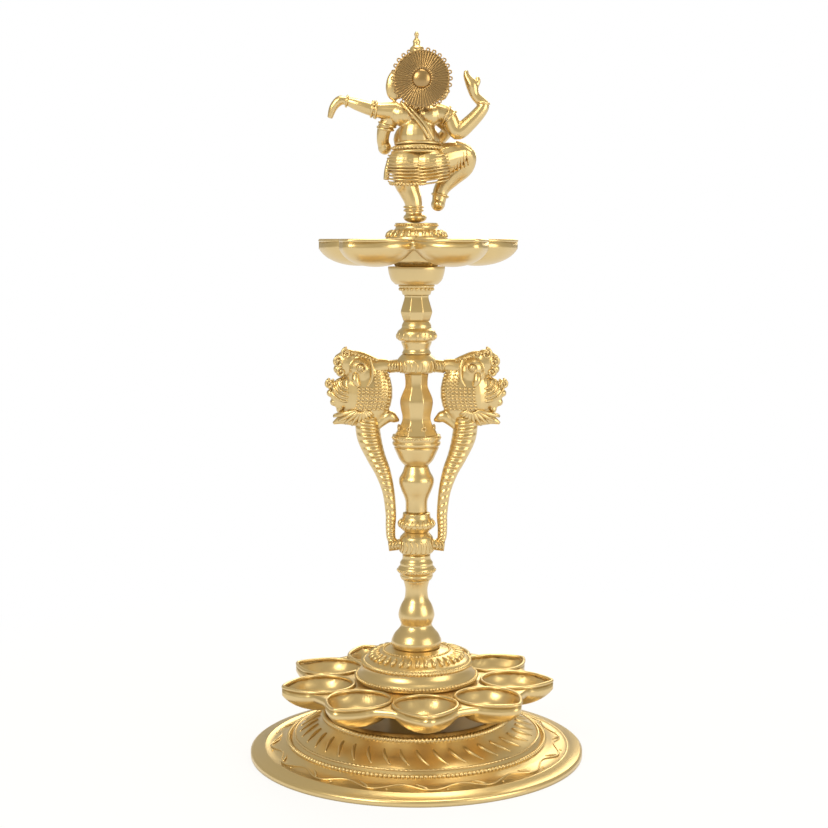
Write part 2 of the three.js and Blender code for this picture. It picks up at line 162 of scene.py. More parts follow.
# Base plate: its first points run over the top, from the bore to the rim, and the rest come back under it
BASE_OUTLINE = [
    (3.5, 28.5), (57, 28.5), (59, 30), (60.4, 29.6), (61.6, 27.6), (65, 25.6), (66.5, 22.6), (75, 18.6),
    (83, 14.6), (85.5, 12.8), (87, 10.6), (91, 9.4), (93, 8.2), (103.4, 5.2), (104.4, 6.2), (105.6, 6.2),
    (106.6, 4.6), (113.4, 4.2), (115, 3.2), (115, 0), (107, 0), (107, 2.2), (92, 5.6), (83, 10.6),
    (66, 18.6), (58, 25.8), (3.5, 25.8),
]
BASE_TOP_POINTS = 19
DOME_OUTLINE = [
    (40, 51), (41.6, 52), (42, 53), (41, 55.4), (38.8, 57.6), (37.4, 60), (36.9, 62), (36.6, 64.4),
    (34.8, 66), (32, 67.4), (29, 69.6), (24.5, 71.4), (18.5, 72.8), (17, 73.4),
]
PEDESTAL_OUTLINE = [
    (19, 338.6), (20.4, 346), (21, 353), (20.6, 355.6), (19.2, 357.4), (17.6, 359), (14.6, 361), (14, 363),
    (14.4, 365),
]

# Parrots: middle (x, z) and radii of the body and of the wing fan
BIRD_MIDDLE = (33.6, 249)
BIRD_RADII = (17.4, 8.4, 23)
FAN_MIDDLE = (50, 249.5)
FAN_RADII = (8.8, 5.2, 11.6)

# Figure: the crown's outline, the place, direction and radius of each bangle, and the halo's middle
CROWN = [
    (9.6, 463), (10.2, 466), (8.8, 468.4), (8.9, 471.4), (6.8, 473.4), (6.9, 476.2), (4.6, 478),
    (4.4, 480.6), (2.2, 482.6), (2.6, 485), (1, 487.4), (1.8, 489.6), (0.4, 491.8),
]
BANGLES = (
    ((-27, -0.7, 440), (-1, 0, 0.1), 5.5),
    ((-29.6, -1, 440.5), (-1, 0, 0.15), 5.2),
    ((-46.4, 0, 445.8), (-1, 0, 0.2), 3.6),
    ((-19.6, 2.6, 430.6), (-0.3, 0.2, -1), 5.6),
    ((-20.8, 3, 428), (-0.2, 0.2, -1), 5.3),
    ((20, 0, 436.6), (1, 0, -0.5), 6.2),
    ((22.4, 0, 434.6), (1, 0, -0.9), 5.9),
    ((44.4, 0, 444.4), (0.1, 0, 1), 4.1),
    ((-2, 1, 373.4), (0, 0, 1), 6),
    ((-2, 1, 375.6), (0, 0, 1), 6.1),
    ((16, 8.4, 383.6), (0.2, 0.1, 1), 5.3),
    ((-1, 2, 464), (0, 0, 1), 10.2),
)
HALO_MIDDLE = (3.3, -13.9, 459.3)


def material_values(context):
    """The finish values that the panel shows."""
    return context.scene.lamp_finish


def brass_material(name, colour, painted_shade, roughness, grain):
    """Cast brass under lacquer: mottled gold, browner in the recesses from painted shade, with a sandy cast
    grain.
    """
    material = bpy.data.materials.new(name)
    material.use_nodes = True
    nodes, links = material.node_tree.nodes, material.node_tree.links
    shader = nodes["Principled BSDF"]
    shader.inputs["Metallic"].default_value = 1.0
    shader.inputs["Specular Tint"].default_value = (*colour, 1)
    place = nodes.new("ShaderNodeTexCoord")
    cloud = nodes.new("ShaderNodeTexNoise")
    cloud.inputs["Scale"].default_value = 38
    cloud.inputs["Detail"].default_value = 5
    links.new(place.outputs["Object"], cloud.inputs["Vector"])
    tones = nodes.new("ShaderNodeValToRGB")
    tones.color_ramp.elements[0].position = 0.3
    tones.color_ramp.elements[0].color = (*[c * k for c, k in zip(colour, (0.93, 0.86, 0.72))], 1)
    tones.color_ramp.elements[1].position = 0.72
    tones.color_ramp.elements[1].color = (*[min(1, c * k) for c, k in zip(colour, (1.04, 1.06, 1.2))], 1)
    links.new(cloud.outputs["Fac"], tones.inputs["Fac"])
    shape = nodes.new("ShaderNodeNewGeometry")
    # Painted shade: hollow spots, found by their low pointiness, are mixed towards the painted shade colour
    shade_mask = nodes.new("ShaderNodeMapRange")
    shade_mask.inputs["From Min"].default_value = 0.497
    shade_mask.inputs["From Max"].default_value = 0.45
    links.new(shape.outputs["Pointiness"], shade_mask.inputs["Value"])
    mix = nodes.new("ShaderNodeMix")
    mix.data_type = "RGBA"
    links.new(shade_mask.outputs["Result"], mix.inputs["Factor"])
    links.new(tones.outputs["Color"], mix.inputs["A"])
    mix.inputs["B"].default_value = (*painted_shade, 1)
    links.new(mix.outputs["Result"], shader.inputs["Base Color"])
    rough = nodes.new("ShaderNodeMapRange")
    rough.inputs["To Min"].default_value = roughness - 0.05
    rough.inputs["To Max"].default_value = roughness + 0.1
    links.new(cloud.outputs["Fac"], rough.inputs["Value"])
    links.new(rough.outputs["Result"], shader.inputs["Roughness"])
    sand = nodes.new("ShaderNodeTexNoise")
    sand.inputs["Scale"].default_value = 900
    sand.inputs["Detail"].default_value = 3
    links.new(place.outputs["Object"], sand.inputs["Vector"])
    bump = nodes.new("ShaderNodeBump")
    bump.inputs["Strength"].default_value = grain
    bump.inputs["Distance"].default_value = 0.0004
    links.new(sand.outputs["Fac"], bump.inputs["Height"])
    links.new(bump.outputs["Normal"], shader.inputs["Normal"])
    return material


def finish_named(slot):
    """The brass made for a material slot."""
    return bpy.data.materials[slot]


def merged(parts):
    """One list of points and faces from several."""
    points, faces, start = [], [], 0
    for some_points, some_faces in parts:
        points.append(np.asarray(some_points, float))
        faces += [[start + i for i in face] for face in some_faces]
        start += len(some_points)
    return np.concatenate(points), faces


def add_piece(name, part, slot="pale_brass", replaces=(), fused=0.0, soften=3):
    """Makes a piece from points in millimetres; fused is the voxel size that melts its parts together."""
    points, faces = part
    mesh = bpy.data.meshes.new(name)
    mesh.from_pydata([tuple(p) for p in np.asarray(points) * MM], [], faces)
    work = bmesh.new()
    work.from_mesh(mesh)
    bmesh.ops.remove_doubles(work, verts=work.verts, dist=1e-7)
    bmesh.ops.recalc_face_normals(work, faces=work.faces)
    work.to_mesh(mesh)
    work.free()
    piece = bpy.data.objects.new(name, mesh)
    bpy.context.scene.collection.objects.link(piece)
    if fused:
        remesh = piece.modifiers.new("melt", "REMESH")
        remesh.mode = "VOXEL"
        remesh.voxel_size = fused * MM
        smooth = piece.modifiers.new("soften", "SMOOTH")
        smooth.factor = 0.5
        smooth.iterations = soften
        graph = bpy.context.evaluated_depsgraph_get()
        made = bpy.data.meshes.new_from_object(piece.evaluated_get(graph))
        piece.modifiers.clear()
        piece.data = made
        made.name = name
    for face in piece.data.polygons:
        face.use_smooth = True
    piece.data.materials.clear()
    piece.data.materials.append(finish_named(slot))
    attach(piece, BODY)
    if replaces:
        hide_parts(*replaces)
    return piece


def rounded(outline, steps=4):
    """A smooth curve through an open outline."""
    p = np.asarray(outline, float)
    p = np.vstack([2 * p[0] - p[1], p, 2 * p[-1] - p[-2]])
    out = []
    for i in range(1, len(p) - 2):
        for t in np.arange(steps) / steps:
            slope = (p[i + 1] - p[i - 1]) * t
            bend = (2 * p[i - 1] - 5 * p[i] + 4 * p[i + 1] - p[i + 2]) * t**2
            twist = (3 * p[i] - p[i - 1] - 3 * p[i + 1] + p[i + 2]) * t**3
            out.append(0.5 * (2 * p[i] + slope + bend + twist))
    out.append(p[-2])
    return np.array(out)


def lathe(outline, sides=120, ripple=None):
    """Turns an outline round the axis and leaves its ends open."""
    rows = []
    for angle in np.arange(sides) / sides * TURN:
        row = []
        for r, z in outline:
            reach = r * ripple(angle, z) if ripple else r
            row.append((reach * math.sin(angle), -reach * math.cos(angle), z))
        rows.append(row)
    count = len(outline)
    points = [p for row in rows for p in row]
    faces = []
    for side in range(sides):
        a, b = side * count, (side + 1) % sides * count
        faces += [[a + i, b + i, b + i + 1, a + i + 1] for i in range(count - 1)]
    return points, faces


def turned(outline, sides=120, ripple=None):
    """A solid turned piece: its outline with flat ends closed on the axis."""
    ends = np.vstack([(0.01, outline[0][1]), outline, (0.01, outline[-1][1])])
    points, faces = lathe(ends, sides, ripple)
    count = len(ends)
    faces.append([side * count for side in range(sides)])
    faces.append([side * count + count - 1 for side in range(sides)])
    return points, faces


def ball(place, radii, tilt=0.0, sides=20, rings=12):
    """A ball with its own radius each way, tilted in degrees about Y."""
    points, faces = [], []
    c, s = math.cos(math.radians(tilt)), math.sin(math.radians(tilt))
    for ring in range(1, rings):
        down = math.pi * ring / rings
        for side in range(sides):
            a = TURN * side / sides
            x = radii[0] * math.sin(down) * math.cos(a)
            y = radii[1] * math.sin(down) * math.sin(a)
            z = radii[2] * math.cos(down)
            points.append((place[0] + c * x + s * z, place[1] + y, place[2] - s * x + c * z))
    top = len(points)
    points.append((place[0] + s * radii[2], place[1], place[2] + c * radii[2]))
    points.append((place[0] - s * radii[2], place[1], place[2] - c * radii[2]))
    for side in range(sides):
        n = (side + 1) % sides
        faces.append([top, side, n])
        last = (rings - 2) * sides
        faces.append([top + 1, last + n, last + side])
        faces += [[r * sides + side, (r + 1) * sides + side, (r + 1) * sides + n, r * sides + n]
                  for r in range(rings - 2)]
    return points, faces


def limb(stops, steps=6, sides=14, closed=False, ripple=None):
    """A tapering tube through stops of x, y, z, radius."""
    path = np.asarray(stops, float) if closed else rounded(stops, steps)
    count = len(path)
    middle = path[:, :3]
    if closed:
        along = np.roll(middle, -1, 0) - np.roll(middle, 1, 0)
    else:
        along = np.gradient(middle, axis=0)
    along /= np.linalg.norm(along, axis=1)[:, None]
    up = np.array([0.0, 1.0, 0.0]) if abs(along[0][1]) < 0.9 else np.array([1.0, 0.0, 0.0])
    points, faces = [], []
    for i in range(count):
        side_way = np.cross(along[i], up)
        side_way /= np.linalg.norm(side_way)
        up = np.cross(side_way, along[i])
        for k in range(sides):
            a = TURN * k / sides
            r = path[i][3] * (ripple(a, i / count) if ripple else 1)
            points.append(path[i][:3] + r * (math.cos(a) * side_way + math.sin(a) * up))
    for i in range(count if closed else count - 1):
        j = (i + 1) % count
        faces += [[i * sides + k, i * sides + (k + 1) % sides, j * sides + (k + 1) % sides, j * sides + k]
                  for k in range(sides)]
    if not closed:
        faces.append(list(range(sides))[::-1])
        faces.append([(count - 1) * sides + k for k in range(sides)])
    return points, faces


def ring_of(count, make, start=0.0):
    """Copies of one form round the axis; make takes the angle of each."""
    return merged([make(start + TURN * i / count) for i in range(count)])


def round_place(radius, angle, height):
    """A point round the axis; angle 0 faces the camera."""
    return (radius * math.sin(angle), -radius * math.cos(angle), height)


def beads(radius, height, size, count, flat=1.0):
    """A ring of small balls round the axis."""

    def bead(a):
        return ball(round_place(radius, a, height), (size, size, size * flat), sides=10, rings=6)

    return ring_of(count, bead)


def petals(count, shape, steps=3):
    """A ring of raised petals; shape lists the radius, turn, height and thickness along one."""

    def petal(a):
        return limb([(*round_place(r, a + turn, z), thick) for r, turn, z, thick in shape], steps, 8)

    return ring_of(count, petal)


def rope(radius, height, thick, strands, steps=900, sides=10):
    """A twisted rope ring that lies round the axis."""
    points, faces = [], []
    for i in range(steps):
        a = TURN * i / steps
        for k in range(sides):
            p = TURN * k / sides
            r = thick * (1 + 0.24 * math.cos(2 * p - strands * a))
            points.append(round_place(radius + r * math.cos(p), a, height + r * math.sin(p)))
    for i in range(steps):
        j = (i + 1) % steps
        faces += [[i * sides + k, i * sides + (k + 1) % sides, j * sides + (k + 1) % sides, j * sides + k]
                  for k in range(sides)]
    return points, faces


def curl(place, reach, turns, thick, start=0.0, hand=1, steps=26):
    """A scroll that winds inwards in the XZ plane."""
    stops = []
    for i in range(steps + 1):
        t = i / steps
        a = start + hand * turns * TURN * t
        r = reach * (1 - 0.82 * t)
        x, z = place[0] + r * math.cos(a), place[2] + r * math.sin(a)
        stops.append((x, place[1], z, thick * (1 - 0.35 * t)))
    return limb(stops, 1, 8)


def base_height(radius):
    """Height of the base plate's upper face at a radius."""
    top = BASE_OUTLINE[:BASE_TOP_POINTS]
    return float(np.interp(radius, [p[0] for p in top], [p[1] for p in top]))


def make_base():
    """Dished base plate with its rims, beads, ropes, slanting strokes and vine."""
    outline = BASE_OUTLINE + [BASE_OUTLINE[0]]
    parts = [lathe(outline, 200)]
    parts.append(rope(63.6, 26.6, 1.9, 150))
    parts.append(beads(88.8, 10.9, 1.7, 190, 0.9))
    parts.append(rope(84.6, 13.7, 0.8, 170))

    def stroke(a):
        stops = []
        for t in np.linspace(0, 1, 7):
            r = 68.5 + 12.5 * t
            thick = 0.4 + 0.95 * math.sin(math.pi * min(1, t + 0.08))
            stops.append((*round_place(r, a + 0.1 * t**1.4, base_height(r) + 0.05), thick))
        return limb(stops, 2, 8)

    parts.append(ring_of(40, stroke))
    vine = []
    for a in np.arange(640) / 640 * TURN:
        r = 98 + 2.7 * math.sin(16 * a)
        vine.append((*round_place(r, a, base_height(r) + 0.15), 0.62))
    parts.append(limb(vine, 1, 6, closed=True))

    def leaf(a):
        stops = []
        for out, turn, thick in ((-3.4, -0.01, 0.3), (-1.6, 0.03, 0.8), (0.6, 0.06, 0.9), (2.6, 0.075, 0.3)):
            stops.append((*round_place(98 + out, a + turn, base_height(98 + out) + 0.2), thick))
        return limb(stops, 3, 6)

    def berry(a):
        return ball(round_place(100.4, a + 0.2, base_height(100.4)), (0.9, 0.9, 0.7), sides=8, rings=5)

    parts.append(ring_of(16, leaf))
    parts.append(ring_of(16, berry))
    add_piece("base_plate_dressed", merged(parts), replaces=["base_plate"])


def make_tray(name, node, cups, turn, middle, half, point, floor, rim, valley, hub):
    """A cast tray of separate round cups with pointed lips, on one flat land."""
    pitch = math.pi / cups
    bead = bpy.context.scene.lamp_sizes.cup_bead

    def narrowing(ahead):
        """Share of a cup's width that is left this far ahead of its middle."""
        return 1 - CUP_NARROWING * ahead**CUP_SHARPNESS

    def spread(r, a):
        """Distance from a cup's middle, where 1 is its rim."""
        u, v = r * math.cos(a) - middle, r * math.sin(a)
        width = half * narrowing(max(u, 0) / point)
        return math.hypot(u / (point if u > 0 else half), v / width)

    def edge(a):
        """Radius of a cup's outer edge at an angle from its middle line."""
        for r in np.arange(middle + point + 2, hub, -0.4):
            if spread(r, a) <= EDGE_REACH:
                return r
        return valley

    def top_and_under(r, a, at_edge):
        """Heights of the upper and the lower face."""
        share = spread(r, a)
        cup_top = rim - BEAD_DROP
        if share < 1:
            cup_top = rim - (rim - floor - TRAY_WALL) * math.sqrt(max(0, 1 - share * share))
        land = rim - LAND_DROP if r > hub else rim - HUB_DROP
        top = rim - EDGE_DROP if at_edge else min(cup_top, land)
        if r < hub:
            return top, floor
        low_share = share / UNDER_REACH
        under = min(rim - WEB_DEPTH, rim - (rim - floor) * math.sqrt(max(0, 1 - low_share * low_share)))
        return top, min(under, top - THINNEST_WALL)

    upper, lower = [], []
    for cup in range(cups):
        for step in range(CUP_STEPS):
            a = (2 * step / CUP_STEPS - 1) * pitch
            heading = math.radians(turn) + 2 * pitch * cup + a
            far = max(edge(a), valley)  # the land fills the valleys between the cups
            for ring in range(TRAY_RINGS + 1):
                r = TRAY_BORE + (far - TRAY_BORE) * (ring / TRAY_RINGS)
                top, under = top_and_under(r, a, ring == TRAY_RINGS)
                upper.append(round_place(r, heading, top))
                lower.append(round_place(r, heading, under))
    rows, row = cups * CUP_STEPS, TRAY_RINGS + 1
    below = rows * row
    faces = []
    for s in range(rows):
        here, beside = s * row, (s + 1) % rows * row
        for k in range(TRAY_RINGS):
            faces.append([here + k, beside + k, beside + k + 1, here + k + 1])
            faces.append([below + here + k, below + here + k + 1, below + beside + k + 1, below + beside + k])
        last, next_last = here + TRAY_RINGS, beside + TRAY_RINGS
        faces.append([last, next_last, below + next_last, below + last])
        faces.append([here, below + here, below + beside, beside])
    rims = []
    for cup in range(cups):
        heading = math.radians(turn) + 2 * pitch * cup
        stops = []
        for a in np.arange(56) / 56 * TURN:
            ahead = max(math.cos(a), 0)
            u = middle + (point if ahead else half) * math.cos(a) * BEAD_REACH
            v = half * math.sin(a) * narrowing(ahead) * BEAD_REACH
            place = round_place(math.hypot(u, v), heading + math.atan2(v, u), rim - BEAD_DROP)
            stops.append((*place, bead))
        rims.append(limb(stops, 1, 10, closed=True))
    piece = add_piece(name, merged([(upper + lower, faces), *rims]), replaces=[node])
    smooth = piece.modifiers.new("soften", "SMOOTH")
    smooth.factor = 0.5
    smooth.iterations = 2


def make_trays():
    """The nine-cup lower tray and the five-cup upper one."""
    make_tray("lower_wick_tray", "lower_tray", **LOWER_CUPS)
    make_tray("upper_wick_tray", "upper_tray", **UPPER_CUPS)


def make_dome():
    """Carved dome on the lower tray: beads, a rope and a ring of leaves."""
    leaf = ((33, 0, 67.2, 0.6), (31.6, 0.02, 68.6, 1.7), (28.6, 0.03, 70, 1.4), (26, 0, 71, 0.5))
    parts = [
        turned(rounded(DOME_OUTLINE, 3), 160),
        beads(41.8, 54.2, 1.25, 110),
        rope(36.8, 63.6, 1.5, 100),
        petals(34, leaf),
        beads(23, 71.9, 0.9, 64),
    ]
    add_piece("tray_dome_dressed", merged(parts), replaces=["tray_dome"])


def facet_ripple(angle, height):
    """Share of the radius at an angle that makes a round piece faceted."""
    part = TURN / FACETS
    return math.cos(part / 2) / math.cos((angle + part / 2) % part - part / 2)


def facet_ring(a):
    """A small ring on one facet of the tall baluster."""
    stops = []
    for t in np.arange(12) / 12 * TURN:
        x, z = 1.5 * math.cos(t), 226.4 + 1.5 * math.sin(t)
        stops.append((x * math.cos(a) + 13.1 * math.sin(a), x * math.sin(a) - 13.1 * math.cos(a), z, 0.45))
    return limb(stops, 1, 6, closed=True)


def make_stem():
    """Turned and faceted stem pieces with their beads, grooves and petals."""
    leaf = ((10.9, 0, 157.4, 0.5), (12.1, 0.06, 160, 1.1), (10.8, 0.1, 163, 0.5))
    upper_leaf = ((12.9, 0, 287, 0.5), (13.1, 0.05, 289, 0.9), (12.5, 0.1, 291.6, 0.4))
    extras = {
        "stem_bead_ring": [beads(12.7, 127.8, 0.95, 34)],
        "stem_leaf_ring": [petals(18, leaf)],
        "stem_knob": [beads(16.3, 219.6, 0.7, 56)],
        "stem_upper_rings": [petals(16, upper_leaf)],
        "stem_capital": [beads(11.1, 320.6, 1.1, 20), beads(11.7, 322.9, 0.6, 44)],
        "faceted_baluster": [ring_of(FACETS, facet_ring, TURN / 16)],
    }
    for node, outline in STEM.items():
        parts = [turned(rounded(outline, 4), 96)] + extras.get(node, [])
        add_piece(node + "_turned", merged(parts), replaces=[node])
    for node, outline in FACETED.items():
        parts = [turned(rounded(outline, 4), 128, facet_ripple)] + extras.get(node, [])
        add_piece(node + "_cut", merged(parts), replaces=[node])


def make_collars():
    """Collars that carry the brackets: a carved ring with a notched arm to each side."""
    for node, low, high, radius, middle, thick in COLLARS:
        outline = [
            (radius - 2.4, low), (radius - 0.6, low + 1.2), (radius, low + 3), (radius, high - 5),
            (radius - 1.6, high - 2.4), (radius - 4, high),
        ]
        parts = [turned(rounded(outline, 3), 96)]
        for side in (-1, 1):
            arm = [(8, middle + 1), (14, middle), (19.2, middle - 0.6)]
            parts.append(limb([(side * x, 0, z, thick) for x, z in arm], 4, 16))
            for face in (-1, 1):
                for x in NOTCHES:
                    near, far = face * (thick + 0.1), face * (thick + 0.5)
                    notch = [
                        (side * x, near, middle - 2.6, 0.5),
                        (side * (x + 0.8), far, middle, 0.7),
                        (side * x, near, middle + 2.6, 0.5),
                    ]
                    parts.append(limb(notch, 3, 8))
        inner, outer = radius - 0.2, radius + 0.1
        leaf = ((inner, -0.06, middle - 4, 0.5), (outer, 0.05, middle, 0.9), (inner, -0.06, middle + 4, 0.5))
        parts.append(petals(20, leaf))
        add_piece(node + "_carved", merged(parts), replaces=[node])


def on_face(x, z, centre, radii):
    """How far a flattened ball's surface stands out at x and z."""
    left = 1 - ((x - centre[0]) / radii[0]) ** 2 - ((z - centre[1]) / radii[2]) ** 2
    return radii[1] * math.sqrt(max(left, 0.04))


def head_detail(s, face):
    """Eye with its ring, beak and neck line on one face of a parrot."""
    eye_ring = []
    for t in np.arange(20) / 20 * TURN:
        eye_ring.append((s * (37.6 + 3.3 * math.cos(t)), face * 8.9, 268 + 3.3 * math.sin(t), 0.5))
    return [
        ball((s * 37.6, face * 9.2, 268), (2, 1.5, 2), sides=12, rings=8),
        limb(eye_ring, 1, 6, closed=True),
        limb([(s * 41, face * 6.4, 263.8, 2.2), (s * 41, face * 8.2, 259, 2.6),
              (s * 38.8, face * 8.9, 255, 1)], 5),
        limb([(s * 31.2, face * 7.4, 274, 0.7), (s * 29.6, face * 8.4, 267, 1),
              (s * 30.2, face * 8.6, 260, 1), (s * 33.2, face * 8.8, 254.6, 0.6)], 5, 8),
    ]


def scale_detail(s, face):
    """Rows of small scales down the body."""
    scales = []
    for row in range(8):
        for k in range(12 if row < 4 else 7):
            z = (265 if row < 4 else 253.5) - 2.3 * k
            x = 18.4 + 2.9 * row + 0.012 * (z - 252) ** 2
            y = on_face(x, z, BIRD_MIDDLE, BIRD_RADII)
            scales.append(limb([(s * (x - 1.2), face * (y - 0.5), z - 0.5, 0.5),
                                (s * x, face * (y + 0.3), z, 0.95),
                                (s * (x + 1.2), face * (y + 0.2), z + 0.5, 0.5)], 2, 6))
    return scales


def flute_detail(s, face):
    """Flutes that fan out over the lower body."""
    flutes = []
    for k in range(9):
        a = math.radians(-22 - 15 * k)
        reach = 21 - 9 * k / 8
        stops = []
        for t, size in ((0.2, 0.8), (0.6, 1.5), (1, 0.9)):
            x, z = 37 + reach * t * math.cos(a), 240 + 0.72 * reach * t * math.sin(a)
            stops.append((s * x, face * (8.6 - 5.4 * t**2), z, size))
        flutes.append(limb(stops, 4, 8))
    return flutes


def wing_detail(s, face):
    """Feather arcs on the wing fan, each with a row of small balls."""
    feathers = []
    for k in range(4):
        r = 4.6 + 2.9 * k
        arc = []
        for t in np.linspace(-1.7, 0.1, 12):
            x, z = 46.5 + r * math.cos(t), 258 + r * math.sin(t)
            arc.append((s * x, face * on_face(x, z, FAN_MIDDLE, FAN_RADII), z, 1.05))
        feathers.append(limb(arc, 2, 8))
        feathers += [ball((p[0], p[1] + face * 0.7, p[2]), (0.75, 0.75, 0.75), sides=8, rings=5)
                     for p in arc[1::2]]
    return feathers


def crest_detail(s, face):
    """Curls down the outer edge and a row of small balls over the head."""
    curls = []
    for x, z, reach in ((47.4, 277, 3.6), (52.6, 271.4, 3.6), (51, 264.6, 3.2), (59, 256.4, 2.8)):
        curls.append(curl((s * x, face * 4.4, z), reach, 1.3, 1.05, start=math.pi / 2, hand=-s))
    for k in range(9):
        t = k / 8
        x, z = 27 + 19 * t, 272.6 + 5.4 * t
        curls.append(ball((s * x, face * 4.6, z), (1, 1, 1), sides=8, rings=5))
    return curls


def feather_detail(s, face):
    """All the carving on one face of a parrot."""
    detail = head_detail(s, face) + scale_detail(s, face) + flute_detail(s, face)
    return detail + wing_detail(s, face) + crest_detail(s, face)


def make_parrot(side, node):
    """One bracket: parrot body melted together, then its carving and the ridged tail."""
    s = side
    body = [
        ball((s * BIRD_MIDDLE[0], 0, BIRD_MIDDLE[1]), BIRD_RADII, s * -6),
        ball((s * 36, 0, 263), (12.4, 7.8, 12), s * 30),
        ball((s * 38.4, 0, 267), (8.6, 9, 8.2)),
        ball((s * 46.6, 0, 270.4), (8.8, 5, 9.6)),
        ball((s * FAN_MIDDLE[0], 0, FAN_MIDDLE[1]), FAN_RADII),
        limb([(s * 24, 0, 268, 4), (s * 32, 0, 272, 4), (s * 40, 0, 275, 4), (s * 46, 0, 276, 2.6)], 5),
        limb([(s * 18.4, 0, 268.5, 4.2), (s * 24, 0, 268.6, 5), (s * 31, 0, 267, 6)], 5),
        limb([(s * 11.8, 0, 231, 0.8), (s * 15, 0, 232.4, 3), (s * 19, 0, 234, 4.2),
              (s * 24.6, 0, 230, 3.6), (s * 30, 0, 226, 4)], 5),
        limb([(s * 57, 0, 229.2, 1), (s * 51, 0, 231.8, 3.4), (s * 41, 0, 233.4, 6.4)], 5),
    ]
    for x, z, size in ((52.4, 273.6, 3.4), (53.4, 266.4, 3.2), (58.4, 256.4, 2.9), (58.6, 250, 2.7),
                       (56.2, 243.8, 2.8), (52, 239, 2.8)):
        body.append(ball((s * x, 0, z), (size, 3.4, size)))
    add_piece(node + "_body", merged(body), replaces=[node], fused=0.55, soften=3)

    def ridges(a, t):
        return 1 + 0.11 * math.sin(a) ** 2 * math.cos(3 * s * math.cos(a) + 150 * t)

    stops = [(15.2, 147, 2.6), (17.4, 150, 3.1), (17.8, 158, 3.4), (17.6, 167, 3.7), (19.2, 182, 4.2),
             (23, 195.6, 5.4), (28, 207, 6.6), (32.4, 220, 8.2), (34, 233, 8.2)]
    tail = limb([(s * x, 0, z, r) for x, z, r in stops], 40, 24, ripple=ridges)
    add_piece(node + "_tail", tail)
    add_piece(node + "_feathers", merged(feather_detail(s, -1) + feather_detail(s, 1)))


def make_parrots():
    """The left and right bracket, one the mirror of the other."""
    make_parrot(-1, "left_parrot_bracket")
    make_parrot(1, "right_parrot_bracket")


def make_pedestal():
    """Lotus pedestal with a ring of petals and beads."""
    petal = ((20.6, 0, 355.4, 0.8), (19, 0, 357.8, 1.5), (16.4, 0, 360, 0.9))
    parts = [turned(rounded(PEDESTAL_OUTLINE, 3), 96), petals(24, petal, 4), beads(14.3, 363.4, 0.7, 44)]
    add_piece("lotus_pedestal_carved", merged(parts), replaces=["lotus_pedestal"])


def band(place, way, radius, thick):
    """A small ring round a limb that runs along way."""
    way = np.asarray(way, float) / np.linalg.norm(way)
    across = np.cross(way, (0, 1, 0)) if abs(way[1]) < 0.9 else np.cross(way, (1, 0, 0))
    across /= np.linalg.norm(across)
    up = np.cross(across, way)
    stops = []
    for t in np.arange(28) / 28 * TURN:
        spot = np.asarray(place) + radius * (math.cos(t) * across + math.sin(t) * up)
        stops.append((*spot, thick))
    return limb(stops, 1, 8, closed=True)


def dhoti_folds():
    """Pleats across the seat and round the raised thigh."""
    folds = []
    for k in range(9):
        z = 410 - 2.15 * k
        wide, deep = 18.2 - 0.12 * (k - 4) ** 2 + 0.9, 12.9 - 0.14 * (k - 4) ** 2
        for way, centre in ((-1, -6.2), (1, 8.8)):
            arc = []
            for t in np.linspace(0.05, math.pi - 0.05, 22):
                drop = 1.7 * math.sin(t) - 0.1 * (way > 0) * wide * math.cos(t)
                x, y = centre + wide * 0.73 * math.cos(t), -1.4 - deep * 0.97 * math.sin(t)
                arc.append((x, y, z - drop, 0.62))
            folds.append(limb(arc, 1, 8))
    for k in range(7):
        t = k / 6
        place = (17 + 15 * t, 4 + 3 * t, 407.6 + 2.4 * t)
        folds.append(band(place, (1, 0.25, 0.25), 10.6 - 2.2 * t, 0.6))
    return folds


def belts():
    """Three belts round the waist, the middle one beaded, and a beaded hem."""
    made = []
    for z, thick, wide in ((417.6, 1.1, 14.6), (414.6, 1.5, 15.8), (411.8, 1, 17)):
        belt = []
        for t in np.arange(48) / 48 * TURN:
            deep = (wide - 1.6) * 0.86
            belt.append((0.8 + wide * math.cos(t), 1 + deep * math.sin(t), z - 0.7 * math.sin(t), thick))
        made.append(limb(belt, 1, 8, closed=True))
    for t in np.arange(40) / 40 * TURN:
        place = (0.8 + 16.9 * math.cos(t), 1 + 13.6 * math.sin(t), 414.6)
        made.append(ball(place, (1, 1, 1), sides=8, rings=5))
    for t in np.linspace(0.1, math.pi - 0.1, 15):
        place = (-6 + 11.6 * math.cos(t), -1 - 11 * math.sin(t), 391.6 - 1.2 * math.sin(t))
        made.append(ball(place, (1.1, 1.1, 1.3), sides=8, rings=5))
    return made


def cords_and_sash():
    """The double cord across the back and the sash's two loose ends."""
    made = []
    for shift in (-1.4, 1.4):
        made.append(limb([(-9 + shift, -5.6, 445, 1), (-3 + shift, -9, 438, 1),
                          (4 + shift, -10.4, 430, 1), (10 + shift, -9.8, 420, 0.9)], 6, 8))
    made.append(limb([(26, 2, 417.6, 2.6), (32, 2, 415.6, 2.4), (37, 3, 412.4, 1.8)], 5, 10))
    made.append(limb([(-17.6, -2, 408, 1.8), (-19.6, -2.6, 400, 2), (-20.4, -2.6, 393.6, 1.8)], 5, 10))
    return made


def bangles():
    """Rings on the arms, legs and crown, and the small balls on an armlet and the crown's edge."""
    made = [band(place, way, radius, 0.85) for place, way, radius in BANGLES]
    for t in np.arange(12) / 12 * TURN:
        place = (-28.3, -0.9 + 5.3 * math.cos(t), 440.3 + 5.3 * math.sin(t))
        made.append(ball(place, (0.9, 0.9, 0.9), sides=8, rings=5))
    for t in np.arange(20) / 20 * TURN:
        made.append(ball((10 * math.cos(t), 10 * math.sin(t), 466), (1, 1, 1.2), sides=8, rings=5))
    return made


